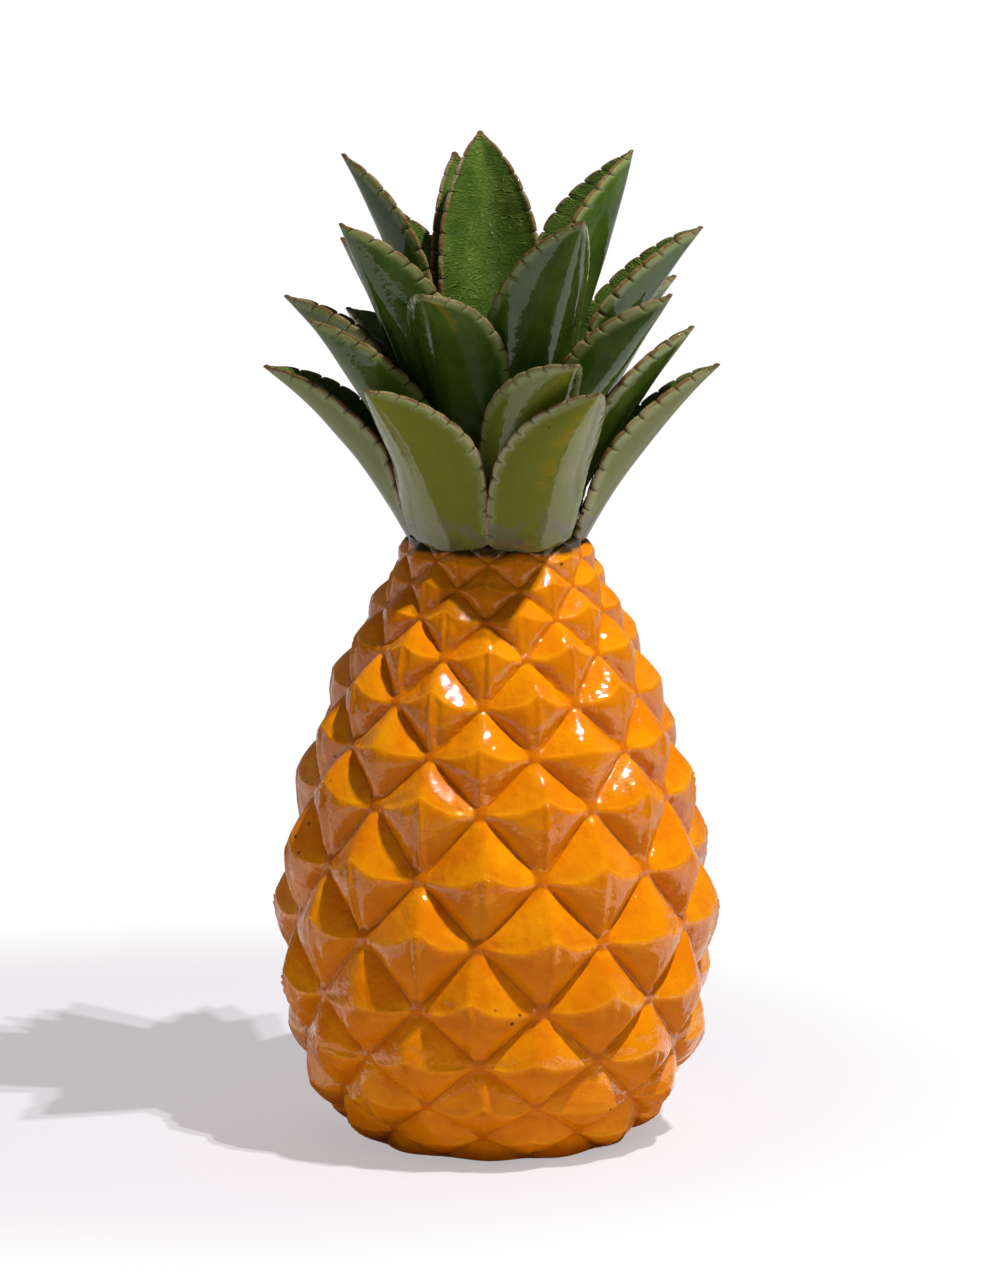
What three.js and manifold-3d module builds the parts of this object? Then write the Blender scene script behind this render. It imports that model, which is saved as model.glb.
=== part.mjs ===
// Pineapple vase in glazed earthenware, millimetres, +Z up.
// The origin is the middle of the foot, on the surface that the vase stands on.
// Azimuth 0 faces the front (-Y) and grows towards the right (+X).
//
// A press-moulded body with ten diamond scales in each ring is closed below by a base slab.
// A thrown collar stands in the body's neck and forms the mouth.
// Hand-cut leaves are folded along a keel and luted to the collar, tier above tier.
import * as THREE from 'three';
import { mergeVertices } from 'three/addons/utils/BufferGeometryUtils.js';
import Module from 'manifold-3d';

const wasm = await Module();
wasm.setup();

// Joints: every piece keeps this gap to the piece that it is luted to.
const GAP = 0.3;

// A cutting solid reaches this far past an open face, and points closer than this are one point.
const CUT_REACH = 1;
const MERGE_DISTANCE = 1e-3;

// Body: the height and groove radius of each ring where four scales meet, from foot to neck.
const SCALES_PER_RING = 10;
const FIRST_COLUMN_AZIMUTH = -5;
const RINGS = [
  { height: 2.5, radius: 57.3 },
  { height: 13.7, radius: 67.6 },
  { height: 29, radius: 77.7 },
  { height: 49.6, radius: 84.7 },
  { height: 74, radius: 87.5 },
  { height: 102.8, radius: 88.2 },
  { height: 131, radius: 84.7 },
  { height: 160, radius: 79 },
  { height: 183, radius: 72.6 },
  { height: 204.3, radius: 65.4 },
  { height: 224, radius: 57 },
  { height: 239.8, radius: 49.8 },
  { height: 252.5, radius: 43.8 },
  { height: 263.3, radius: 39.8 },
  { height: 270.5, radius: 37.8 },
];
const FOOT_RADIUS = 52;
const WALL = 5;
const HOLLOW_LOW_RING = 1.6;
const HOLLOW_HIGH_RING = 12.6;
const HOLLOW_STEPS = 8;
const HOLLOW_FACETS = 28;

// Scale: a pillow that flares up to a sagging ridge line, and below it a hollow facet that ends in a
// step down to the groove. Ridge height is a share of the scale's own height. The sag is a share of
// half a scale, and the flare, the facet's drop and the step's start are shares of the form.
const RELIEF_PER_SCALE_HEIGHT = 0.21;
const RIDGE_SAG = 0.07;
const RIDGE_SAG_SPREAD = 0.8;
const RIDGE_ROUNDING = 1.8;
const PILLOW_ROUNDING = 0.6;
const PILLOW_FLARE = 0.2;
const FLARE_POWER = 4;
const FACET_DROP = 0.7;
const FACET_HOLLOW = 1.5;
const STEP_STARTS = 0.8;
const SCALE_GRID = [0, 0.14, 0.4, 0.6, 0.86, 1];
const HALF_STEP = 180 / SCALES_PER_RING;

// Base slab: a disc let into the underside, up to a shelf inside the body.
const SLAB_RADIUS = 47.7;
const SLAB_THICKNESS = 5.7;
const SLAB_FACETS = 48;
const SHELF_RADIUS = 43;
const SHELF_THICKNESS = 4;

// Collar: a tube with a tongue that stands in the neck, and a rolled lip at the mouth.
const NECK_HEIGHT = 270.5;
const NECK_SEAT_RADIUS = 37;
const NECK_BORE_RADIUS = 31;
const NECK_BORE_DEPTH = 11;
const TONGUE_LENGTH = 9;
const COLLAR_FOOT_RADIUS = 36.8;
const COLLAR_LOW_RADIUS = 35.5;
const COLLAR_TOP_RADIUS = 31.5;
const COLLAR_TOP_HEIGHT = 362;
const COLLAR_WALL = 4.2;
const COLLAR_FLARE_HEIGHT = 9;
const COLLAR_FACETS = 32;

// Leaves: length runs along the keel, lean is measured from vertical at the base and at the tip,
// cup is the rise of each half blade in degrees, sweep carries the tip sideways along the azimuth,
// and roll turns the blade about its keel. Angles are in degrees.
const LEAF_THICKNESS = 3.6;
const LEAF_TIP_HALF_WIDTH = 2.2;
const LEAF_WIDEST_AT = 0.4;
const LEAF_BASE_WIDTH_RATIO = 0.88;
const LEAF_FULLNESS = 1.9;
const LEAF_TIP_POINT = 0.85;
const BASE_CUP_RATIO = 0.5;
const FULL_CUP_AT = 0.45;
const CUP_POWER = 1.7;
const LEAF_TIP_THICKNESS_RATIO = 0.45;
const THINNING_POWER = 4;
const KEEL_STEPS = 24;
const ACROSS_STATIONS = [-1, -0.55, 0, 0.55, 1];
const ALONG_STATIONS = [0, 0.17, 0.34, 0.51, 0.67, 0.81, 0.92, 1];
const TIERS = [
  {
    tier: 'tier1',
    baseRadius: 39.5,
    baseHeight: 268.5,
    leaves: [
      { side: 'front_left', azimuth: -36, length: 100, lean: [26, 50], halfWidth: 25.5, cup: 34, sweep: 3 },
      { side: 'front_right', azimuth: 23, length: 101, lean: [28, 50], halfWidth: 23.5, cup: 30, sweep: 5 },
      { side: 'right', azimuth: 87, length: 99, lean: [28, 46], halfWidth: 19.5, cup: 36 },
      { side: 'back_right', azimuth: 141, length: 98, lean: [27, 49], halfWidth: 21.5, cup: 42 },
      { side: 'back_left', azimuth: -156, length: 99, lean: [28, 46], halfWidth: 21, cup: 44 },
      { side: 'left', azimuth: -99, length: 100, lean: [29, 53], halfWidth: 20.5, cup: 41 },
    ],
  },
  {
    tier: 'tier2',
    baseRadius: 37.5,
    baseHeight: 288,
    leaves: [
      { side: 'front', azimuth: 17, length: 93, lean: [26, 54], halfWidth: 21, cup: 40, sweep: 6 },
      { side: 'right', azimuth: 87, length: 91, lean: [30, 37], halfWidth: 19.5, cup: 34, roll: -4 },
      { side: 'back_right', azimuth: 126, length: 96, lean: [26, 46], halfWidth: 20.5, cup: 42 },
      { side: 'back', azimuth: 177, length: 97, lean: [25, 48], halfWidth: 21, cup: 43 },
      { side: 'back_left', azimuth: -135, length: 95, lean: [26, 50], halfWidth: 20.5, cup: 42 },
      { side: 'far_left', azimuth: -102, length: 105, lean: [23, 46], halfWidth: 21, cup: 45, roll: 11 },
      { side: 'left', azimuth: -64, length: 100, lean: [27, 39], halfWidth: 20.5, cup: 43 },
    ],
  },
  {
    tier: 'tier3',
    baseRadius: 36,
    baseHeight: 313,
    leaves: [
      { side: 'front_left', azimuth: -28, length: 90, lean: [9, 56], halfWidth: 24.5, cup: 29, sweep: 7 },
      { side: 'right', azimuth: 59, length: 90, lean: [38, 38], halfWidth: 20.5, cup: 40, sweep: -3 },
      { side: 'back_right', azimuth: 115, length: 86, lean: [32, 44], halfWidth: 20.5, cup: 42 },
      { side: 'back', azimuth: 163, length: 95, lean: [24, 42], halfWidth: 21, cup: 42 },
      { side: 'back_left', azimuth: -152, length: 95, lean: [24, 42], halfWidth: 21, cup: 42 },
      { side: 'far_left', azimuth: -116, length: 95, lean: [18, 34], halfWidth: 20.5, cup: 42 },
    ],
  },
  {
    tier: 'tier4',
    baseRadius: 35,
    baseHeight: 322,
    leaves: [
      { side: 'left', azimuth: -59, length: 104, lean: [25, 29], halfWidth: 22, cup: 46, sweep: 4 },
      { side: 'front_right', azimuth: 28, length: 109, lean: [19, 34], halfWidth: 24, cup: 38, sweep: -2 },
      { side: 'right', azimuth: 92, length: 102, lean: [31, 36], halfWidth: 22, cup: 42 },
      { side: 'back_left', azimuth: -137, length: 98, lean: [18, 32], halfWidth: 20.5, cup: 42 },
      { side: 'back', azimuth: -165, length: 117, lean: [14, 25], halfWidth: 22, cup: 42 },
      { side: 'back_right', azimuth: 140, length: 103, lean: [19, 33], halfWidth: 21, cup: 42 },
    ],
  },
  {
    tier: 'tier5',
    baseRadius: 33.5,
    baseHeight: 346,
    leaves: [
      { side: 'right', azimuth: 101, length: 98, lean: [19, 15], halfWidth: 23, cup: 50, sweep: 3 },
      { side: 'back', azimuth: -172, length: 100, lean: [5, 17], halfWidth: 23.5, cup: 38 },
      { side: 'left', azimuth: -92, length: 100, lean: [12, 29], halfWidth: 20, cup: 36, roll: 7 },
    ],
  },
];

// Colours of the glazes.
const amberGlaze = { color: 0xe88a08, roughness: 0.08, metalness: 0 };
const leafGlaze = { color: 0x36501c, roughness: 0.1, metalness: 0 };
const collarGlaze = { color: 0x6f6a1c, roughness: 0.12, metalness: 0 };
const bareClay = { color: 0xb9835a, roughness: 0.85, metalness: 0 };

const QUARTER_TURN = Math.PI / 2;
const radians = THREE.MathUtils.degToRad;
const smooth = THREE.MathUtils.smoothstep;

const vase = new THREE.Group();

function addPiece(name, geometry, glaze) {
  const mesh = new THREE.Mesh(geometry, new THREE.MeshStandardMaterial(glaze));
  mesh.name = name;
  vase.add(mesh);
}

// Solids: a closed triangle list becomes a manifold, and a manifold becomes a geometry again.
function toSolid(geometry) {
  const bare = geometry.clone();
  bare.deleteAttribute('normal');
  bare.deleteAttribute('uv');
  const merged = mergeVertices(bare, MERGE_DISTANCE);
  const mesh = new wasm.Mesh({
    numProp: 3,
    vertProperties: new Float32Array(merged.attributes.position.array),
    triVerts: new Uint32Array(merged.index.array),
  });
  mesh.merge();
  return new wasm.Manifold(mesh);
}

function toGeometry(solid) {
  const mesh = solid.getMesh();
  const geometry = new THREE.BufferGeometry();
  geometry.setAttribute('position', new THREE.BufferAttribute(mesh.vertProperties, 3));
  geometry.setIndex(new THREE.BufferAttribute(mesh.triVerts, 1));
  return geometry;
}

function largestPart(solid) {
  return solid.decompose().reduce((best, part) => (part.volume() > best.volume() ? part : best));
}

function triangleSoup(points) {
  const geometry = new THREE.BufferGeometry();
  const flat = points.flatMap((point) => [point.x, point.y, point.z]);
  geometry.setAttribute('position', new THREE.Float32BufferAttribute(flat, 3));
  return geometry;
}

function addQuad(soup, a, b, c, d) {
  soup.push(a, b, c, a, c, d);
}

// Lathe turns its profile about Y, so the solid is stood up to turn about Z.
function latheSolid(profile, segments) {
  const points = profile.map(([radius, height]) => new THREE.Vector2(radius, height));
  return toSolid(new THREE.LatheGeometry(points, segments).rotateX(QUARTER_TURN));
}

function onBody(azimuth, radius, height) {
  const angle = radians(azimuth);
  return new THREE.Vector3(radius * Math.sin(angle), -radius * Math.cos(angle), height);
}

// Body profile: a smooth curve through the rings, read at a ring number with a fraction.
const profileCurve = new THREE.SplineCurve(
  RINGS.map((ring) => new THREE.Vector2(ring.radius, ring.height)),
);
const TOP_RING = RINGS.length - 1;

function profileAt(ring) {
  const along = THREE.MathUtils.clamp(ring / TOP_RING, 0, 1);
  const point = profileCurve.getPoint(along);
  const tangent = profileCurve.getTangent(along);
  return { radius: point.x, height: point.y, outward: new THREE.Vector2(tangent.y, -tangent.x) };
}

// One point of a scale: its height between the corners, and its relief from 0 in the grooves to 1 on
// the ridge. across and level run from -1 to 1 between opposite corners, and level is 0 on the ridge.
function scaleForm(across, level) {
  const side = Math.abs(across);
  const reach = 1 - side;
  if (reach <= 0) {
    return { up: 0, relief: 0 };
  }
  const share = Math.min(Math.abs(level) / reach, 1);
  const ridge = 1 - side ** RIDGE_ROUNDING;
  const ridgeUp = -RIDGE_SAG * Math.sin(Math.PI * side ** RIDGE_SAG_SPREAD);
  if (level >= 0) {
    const rounded = Math.sin((1 - share) ** PILLOW_ROUNDING * QUARTER_TURN);
    const pillow = THREE.MathUtils.lerp(rounded, (1 - share) ** FLARE_POWER, PILLOW_FLARE);
    return { up: ridgeUp + share * (reach - ridgeUp), relief: ridge * pillow };
  }
  const step = 1 - smooth(share, STEP_STARTS, 1);
  const facet = THREE.MathUtils.lerp(step, (1 - share) ** FACET_HOLLOW, FACET_DROP);
  return { up: ridgeUp - share * (reach + ridgeUp), relief: ridge * facet };
}

function scaleHeight(ring) {
  const above = profileAt(Math.min(ring + 1, TOP_RING));
  const below = profileAt(Math.max(ring - 1, 0));
  return Math.hypot(above.radius - below.radius, above.height - below.height);
}

// One scale is a grid of points between its four corners; half scales end the first and last ring.
function scalePoint(ring, azimuth, u, v, raise) {
  const across = u - v;
  const { up, relief } = scaleForm(across, u + v - 1);
  const spot = profileAt(ring + up);
  const height = relief * RELIEF_PER_SCALE_HEIGHT * scaleHeight(ring) + raise;
  return onBody(
    azimuth + across * HALF_STEP,
    spot.radius + height * spot.outward.x,
    spot.height + height * spot.outward.y,
  );
}

// A half scale ends on the line between its side corners, where the two grid indices add up to the
// last index. The first ring keeps what is above that line, and the last ring what is below it.
function inHalfScale(ring, lowest, highest) {
  const middle = SCALE_GRID.length - 1;
  if (ring === 0) {
    return lowest >= middle;
  }
  return ring < TOP_RING || highest <= middle;
}

function addScale(soup, ring, azimuth, raise) {
  const corner = (i, j) => scalePoint(ring, azimuth, SCALE_GRID[i], SCALE_GRID[j], raise);
  for (let i = 0; i < SCALE_GRID.length - 1; i += 1) {
    for (let j = 0; j < SCALE_GRID.length - 1; j += 1) {
      if (inHalfScale(ring, i + j, i + j + 1)) {
        soup.push(corner(i, j), corner(i + 1, j), corner(i, j + 1));
      }
      if (inHalfScale(ring, i + j + 1, i + j + 2)) {
        soup.push(corner(i + 1, j), corner(i + 1, j + 1), corner(i, j + 1));
      }
    }
  }
}

// A half scale's open edge is closed to a flat ring of the same azimuths, and on to the axis.
function addEndFace(soup, ring, azimuth, raise, flatRadius, flatHeight) {
  const middle = SCALE_GRID.length - 1;
  const centre = new THREE.Vector3(0, 0, flatHeight);
  const edge = SCALE_GRID.map((u, i) => scalePoint(ring, azimuth, u, SCALE_GRID[middle - i], raise));
  const flat = SCALE_GRID.map((u) => onBody(azimuth + (2 * u - 1) * HALF_STEP, flatRadius, flatHeight));
  for (let i = 0; i < middle; i += 1) {
    if (ring === 0) {
      addQuad(soup, edge[i], flat[i], flat[i + 1], edge[i + 1]);
      soup.push(centre, flat[i + 1], flat[i]);
    } else {
      addQuad(soup, edge[i], edge[i + 1], flat[i + 1], flat[i]);
      soup.push(centre, flat[i], flat[i + 1]);
    }
  }
}

function bodyOutside(raise) {
  const soup = [];
  for (let ring = 0; ring <= TOP_RING; ring += 1) {
    const stagger = ring % 2 === 0 ? 0 : HALF_STEP;
    for (let column = 0; column < SCALES_PER_RING; column += 1) {
      const azimuth = FIRST_COLUMN_AZIMUTH + stagger + column * 2 * HALF_STEP;
      addScale(soup, ring, azimuth, raise);
      if (ring === 0) {
        addEndFace(soup, ring, azimuth, raise, FOOT_RADIUS + raise, -raise);
      }
      if (ring === TOP_RING) {
        addEndFace(soup, ring, azimuth, raise, NECK_SEAT_RADIUS + raise, NECK_HEIGHT + raise);
      }
    }
  }
  return toSolid(triangleSoup(soup));
}

// The hollow follows the rings at the wall's thickness, with a recess below for the base slab.
function bodyHollow() {
  const profile = [
    [0, -CUT_REACH],
    [SLAB_RADIUS + GAP, -CUT_REACH],
    [SLAB_RADIUS + GAP, SLAB_THICKNESS + GAP],
    [SHELF_RADIUS, SLAB_THICKNESS + GAP],
    [SHELF_RADIUS, SLAB_THICKNESS + GAP + SHELF_THICKNESS],
  ];
  for (let i = 0; i <= HOLLOW_STEPS; i += 1) {
    const spot = profileAt(THREE.MathUtils.lerp(HOLLOW_LOW_RING, HOLLOW_HIGH_RING, i / HOLLOW_STEPS));
    profile.push([spot.radius - WALL * spot.outward.x, spot.height - WALL * spot.outward.y]);
  }
  profile.push([NECK_BORE_RADIUS, NECK_HEIGHT - NECK_BORE_DEPTH]);
  profile.push([NECK_BORE_RADIUS, NECK_HEIGHT + CUT_REACH]);
  profile.push([0, NECK_HEIGHT + CUT_REACH]);
  return latheSolid(profile, HOLLOW_FACETS);
}

function makeBody() {
  addPiece('body_shell', toGeometry(bodyOutside(0).subtract(bodyHollow())), amberGlaze);
}

function makeBaseSlab() {
  const slab = new THREE.CylinderGeometry(SLAB_RADIUS, SLAB_RADIUS, SLAB_THICKNESS, SLAB_FACETS);
  slab.rotateX(QUARTER_TURN);
  slab.translate(0, 0, SLAB_THICKNESS / 2);
  addPiece('base_slab', slab, bareClay);
}

// Collar profile, from the tongue's foot up the outside, over the lip and down the bore.
function collarProfile() {
  const seat = NECK_HEIGHT + GAP;
  const tongueRadius = NECK_BORE_RADIUS - GAP;
  const lip = COLLAR_WALL / 2;
  const lipArc = [0, 45, 90, 135, 180].map((degrees) => [
    COLLAR_TOP_RADIUS - lip + lip * Math.cos(radians(degrees)),
    COLLAR_TOP_HEIGHT - lip + lip * Math.sin(radians(degrees)),
  ]);
  return [
    [tongueRadius - COLLAR_WALL, NECK_HEIGHT - TONGUE_LENGTH],
    [tongueRadius, NECK_HEIGHT - TONGUE_LENGTH],
    [tongueRadius, seat],
    [COLLAR_FOOT_RADIUS, seat],
    [COLLAR_FOOT_RADIUS, seat + COLLAR_FLARE_HEIGHT / 3],
    [COLLAR_LOW_RADIUS, seat + COLLAR_FLARE_HEIGHT],
    ...lipArc,
    [COLLAR_LOW_RADIUS - COLLAR_WALL, seat + COLLAR_FLARE_HEIGHT],
    [tongueRadius - COLLAR_WALL, NECK_HEIGHT - TONGUE_LENGTH],
  ];
}

function makeCollar() {
  addPiece('crown_collar', toGeometry(latheSolid(collarProfile(), COLLAR_FACETS)), collarGlaze);
}

// What a leaf is cut back from at the collar: the collar's outside and its bore, filled.
function collarKeepout() {
  const seat = NECK_HEIGHT + GAP;
  return latheSolid(
    [
      [0, NECK_HEIGHT - CUT_REACH],
      [COLLAR_FOOT_RADIUS + GAP, NECK_HEIGHT - CUT_REACH],
      [COLLAR_FOOT_RADIUS + GAP, seat + COLLAR_FLARE_HEIGHT / 3 + GAP],
      [COLLAR_LOW_RADIUS + GAP, seat + COLLAR_FLARE_HEIGHT + GAP],
      [COLLAR_TOP_RADIUS + GAP, COLLAR_TOP_HEIGHT + GAP],
      [0, COLLAR_TOP_HEIGHT + GAP],
    ],
    COLLAR_FACETS,
  );
}

// Leaf outline: half width as a share of the widest, from 0 at the base to 1 at the tip of the keel.
function leafWidthRatio(along) {
  if (along < LEAF_WIDEST_AT) {
    const opening = Math.sin((along / LEAF_WIDEST_AT) * QUARTER_TURN);
    return LEAF_BASE_WIDTH_RATIO + (1 - LEAF_BASE_WIDTH_RATIO) * opening;
  }
  const towardsTip = (along - LEAF_WIDEST_AT) / (1 - LEAF_WIDEST_AT);
  return Math.max(1 - towardsTip ** LEAF_FULLNESS, 0) ** LEAF_TIP_POINT;
}

// The keel bends steadily from the base lean to the tip lean, in the plane of the leaf's azimuth.
function keelFrame(tier, leaf, along) {
  const [leanBase, leanTip] = leaf.lean.map(radians);
  let radius = tier.baseRadius;
  let height = tier.baseHeight;
  for (let i = 0; i < KEEL_STEPS; i += 1) {
    const lean = leanBase + (leanTip - leanBase) * along * ((i + 0.5) / KEEL_STEPS);
    radius += (Math.sin(lean) * leaf.length * along) / KEEL_STEPS;
    height += (Math.cos(lean) * leaf.length * along) / KEEL_STEPS;
  }
  const azimuth = radians(leaf.azimuth);
  const lean = leanBase + (leanTip - leanBase) * along;
  const outward = new THREE.Vector3(Math.sin(azimuth), -Math.cos(azimuth), 0);
  const sideways = new THREE.Vector3(Math.cos(azimuth), Math.sin(azimuth), 0);
  const upward = new THREE.Vector3(0, 0, 1);
  const inward = outward.clone().multiplyScalar(-Math.cos(lean)).addScaledVector(upward, Math.sin(lean));
  const origin = outward.clone().multiplyScalar(radius).addScaledVector(upward, height);
  origin.addScaledVector(sideways, (leaf.sweep ?? 0) * along * along);
  const tangent = new THREE.Vector3().crossVectors(sideways, inward).normalize();
  const roll = radians(leaf.roll ?? 0);
  sideways.applyAxisAngle(tangent, roll);
  inward.applyAxisAngle(tangent, roll);
  return { origin, sideways, inward };
}

// Blade section: a rounded keel with two half blades, given on the outer and on the inner face.
function bladePoint(tier, leaf, along, across, isInner, grow) {
  const { origin, sideways, inward } = keelFrame(tier, leaf, along);
  const halfWidth = Math.max(leaf.halfWidth * leafWidthRatio(along), LEAF_TIP_HALF_WIDTH);
  const opening = BASE_CUP_RATIO + (1 - BASE_CUP_RATIO) * smooth(along, 0, FULL_CUP_AT);
  const rise = Math.tan(radians(leaf.cup * opening));
  const thinning = THREE.MathUtils.lerp(LEAF_TIP_THICKNESS_RATIO, 1, Math.sqrt(1 - along ** THINNING_POWER));
  const thickness = LEAF_THICKNESS * thinning + grow;
  const slope = Math.atan(rise * CUP_POWER * Math.abs(across) ** (CUP_POWER - 1));
  const shift = isInner ? thickness : -grow;
  const side = Math.sign(across);
  const reach = halfWidth * Math.abs(across) - shift * Math.sin(slope) + grow * Math.abs(across);
  const lift = halfWidth * rise * Math.abs(across) ** CUP_POWER + shift * Math.cos(slope);
  return origin.addScaledVector(sideways, side * reach).addScaledVector(inward, lift);
}

function leafSolid(tier, leaf, grow) {
  const soup = [];
  const outer = (i, j) => bladePoint(tier, leaf, ALONG_STATIONS[i], ACROSS_STATIONS[j], false, grow);
  const inner = (i, j) => bladePoint(tier, leaf, ALONG_STATIONS[i], ACROSS_STATIONS[j], true, grow);
  const lastAlong = ALONG_STATIONS.length - 1;
  const lastAcross = ACROSS_STATIONS.length - 1;
  for (let i = 0; i < lastAlong; i += 1) {
    for (let j = 0; j < lastAcross; j += 1) {
      addQuad(soup, outer(i, j), outer(i, j + 1), outer(i + 1, j + 1), outer(i + 1, j));
      addQuad(soup, inner(i, j), inner(i + 1, j), inner(i + 1, j + 1), inner(i, j + 1));
    }
    const right = lastAcross;
    addQuad(soup, outer(i, 0), outer(i + 1, 0), inner(i + 1, 0), inner(i, 0));
    addQuad(soup, outer(i, right), inner(i, right), inner(i + 1, right), outer(i + 1, right));
  }
  for (let j = 0; j < lastAcross; j += 1) {
    addQuad(soup, outer(0, j), inner(0, j), inner(0, j + 1), outer(0, j + 1));
    addQuad(soup, outer(lastAlong, j), outer(lastAlong, j + 1), inner(lastAlong, j + 1), inner(lastAlong, j));
  }
  return toSolid(triangleSoup(soup));
}

// Lower tiers keep their whole shape. Each later leaf is cut back from the collar, the body
// and every leaf that is already in place.
function makeLeaves() {
  const keepout = collarKeepout().add(bodyOutside(GAP));
  const placed = [];
  for (const tier of TIERS) {
    for (const leaf of tier.leaves) {
      let solid = leafSolid(tier, leaf, 0).subtract(keepout);
      for (const earlier of placed) {
        solid = solid.subtract(earlier);
      }
      addPiece(`${tier.tier}_leaf_${leaf.side}`, toGeometry(largestPart(solid)), leafGlaze);
      placed.push(leafSolid(tier, leaf, GAP));
    }
  }
}

makeBody();
makeBaseSlab();
makeCollar();
makeLeaves();

export default vase;
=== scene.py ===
import math
import random

import bpy
from mathutils import Matrix, Vector, noise


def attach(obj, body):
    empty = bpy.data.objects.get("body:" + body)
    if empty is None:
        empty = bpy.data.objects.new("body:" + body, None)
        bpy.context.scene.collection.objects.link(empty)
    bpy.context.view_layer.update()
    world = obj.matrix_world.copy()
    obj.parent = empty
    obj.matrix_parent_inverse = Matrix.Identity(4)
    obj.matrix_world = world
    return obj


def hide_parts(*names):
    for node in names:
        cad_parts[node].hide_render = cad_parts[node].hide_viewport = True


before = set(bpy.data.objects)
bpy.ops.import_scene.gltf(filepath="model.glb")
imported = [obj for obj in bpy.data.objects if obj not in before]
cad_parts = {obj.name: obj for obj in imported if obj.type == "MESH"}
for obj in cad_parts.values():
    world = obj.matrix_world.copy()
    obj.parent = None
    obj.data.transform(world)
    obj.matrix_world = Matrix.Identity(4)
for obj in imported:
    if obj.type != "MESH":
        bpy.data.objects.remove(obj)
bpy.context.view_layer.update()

MM = 0.001
random.seed(41)
bpy.ops.object.select_all(action="DESELECT")

# Body: one hollow shell of buff earthenware, pressed in a mould of diamond scales and smoothed by
# hand. A honey-amber lead glaze covers it, golden and thin on the ridges, brown in the grooves.
# Each ring is a height and a groove radius in millimetres, where four scales meet.
RINGS = [
    (2.5, 57.3), (13.7, 67.6), (29, 77.7), (49.6, 84.7), (74, 87.5),
    (102.8, 88.2), (131, 84.7), (160, 79), (183, 72.6), (204.3, 65.4),
    (224, 57), (239.8, 49.8), (252.5, 43.8), (263.3, 39.8), (270.5, 37.8),
]
TOP_RING = len(RINGS) - 1
SCALES_PER_RING = 10
HALF_STEP = math.pi / SCALES_PER_RING
FIRST_COLUMN = math.radians(-5)
SCALE_CELLS = 25
RELIEF_PER_SCALE_HEIGHT = 0.21
CROSSING_SADDLE = 0.045
SADDLE_SPREAD = 0.2
CROSSING_DIP = (0.05, 0.27)
GATHER_TO_RIDGE = 0.62
GATHER_TO_CORNER = 0.5
BODY_WOBBLE = 0.5 * MM
WOBBLE_PITCH = 21
BODY_DIMPLE = 0.42 * MM
DIMPLE_PITCH = 140
DIMPLE_LEVEL = 0.7
TRUE_AT_FOOT = (0.004, 0.03)
TRUE_AT_NECK = (0.255, 0.268)
DRIFT_SHIFTS = (Vector((0, 0, 0)), Vector((17.3, 5.1, 9.7)), Vector((3.9, 23.6, 13.2)))


def smooth(value, low, high):
    share = min(max((value - low) / (high - low), 0), 1)
    return share * share * (3 - 2 * share)


def hill(*directions):
    """1 on top of a smooth hill, given its value, centre and spread in each direction."""
    return math.exp(-sum(((value - centre) / spread) ** 2 for value, centre, spread in directions))


def profile(ring):
    """Radius, height and outward direction of the body at a ring number with a fraction."""
    ring = min(max(ring, 0), TOP_RING)
    low = min(int(ring), TOP_RING - 1)
    share = ring - low
    corners = [RINGS[min(max(low + step, 0), TOP_RING)] for step in (-1, 0, 1, 2)]
    height, rise = [0.0, 0.0], [0.0, 0.0]
    for axis in (0, 1):
        before, start, end, after = (corner[axis] for corner in corners)
        leave = (end - before) / 2
        arrive = (after - start) / 2
        cubic = 2 * start - 2 * end + leave + arrive
        square = 3 * (end - start) - 2 * leave - arrive
        height[axis] = ((cubic * share + square) * share + leave) * share + start
        rise[axis] = (3 * cubic * share + 2 * square) * share + leave
    length = math.hypot(*rise)
    return height[1] * MM, height[0] * MM, (rise[0] / length, -rise[1] / length)


def gather(share, strength):
    """Draws evenly spaced shares towards 0 and 1, where a scale turns fastest."""
    return share - strength * math.sin(2 * math.pi * share) / (2 * math.pi)


def scale_point(across, share, is_upper, habit):
    """One point of a scale: its height between the corners, its relief, and its way from the ridge.

    across runs from -1 to 1 between the side corners, and share from 0 on the ridge to 1 in the groove.
    """
    reach = 1 - abs(across)
    if reach < 1e-6:
        return 0, 0, 0
    centred = across - habit["cusp_shift"] * reach
    side = min(abs(centred), 1)
    ridge_up = habit["cusp"] * (1 - side) ** 2.6 - habit["sag"] * math.sin(math.pi * side ** 0.8)
    ridge_up = max(min(ridge_up, reach * 0.8), -reach * 0.8)
    ridge = (1 - side ** 1.8) * habit["height"]
    if is_upper:
        way = share * (reach - ridge_up)
        down = rounded_distance(across, ridge_up + way) / rounded_distance(across, ridge_up)
        pillow = (1.5 - 0.5 * down) * down
        wing = hill((side, 0.36, 0.17), (down, 0.6, 0.2))
        trough = hill((down, 0.84, 0.09)) * smooth(side, 0.12, 0.4) * smooth(reach, 0.05, 0.3)
        dent = hill((across, habit["dent_at"], 0.2), (share, 0.22, 0.16))
        relief = ridge * pillow - habit["hollow"] * wing - habit["trough"] * trough - habit["dent"] * dent
        return ridge_up + way, max(relief, 0), way
    way = share * (reach + ridge_up)
    kept = rounded_distance(across, way - ridge_up) / rounded_distance(across, -ridge_up)
    fallen = 1 - kept
    facet = 1 - 0.22 * fallen - 0.95 * fallen ** 2.2 + 0.17 * smooth(fallen, 0.87, 1)
    rib_width = 0.03 + 0.05 * share
    rib = hill((centred, 0, rib_width)) - 0.5 * hill((centred, habit["rib_lean"], 0.05))
    rib *= habit["rib"] * smooth(share, 0, 0.15) * (1 - smooth(share, 0.86, 0.98))
    return ridge_up - way, max(ridge * facet + rib, -0.05), way


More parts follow.
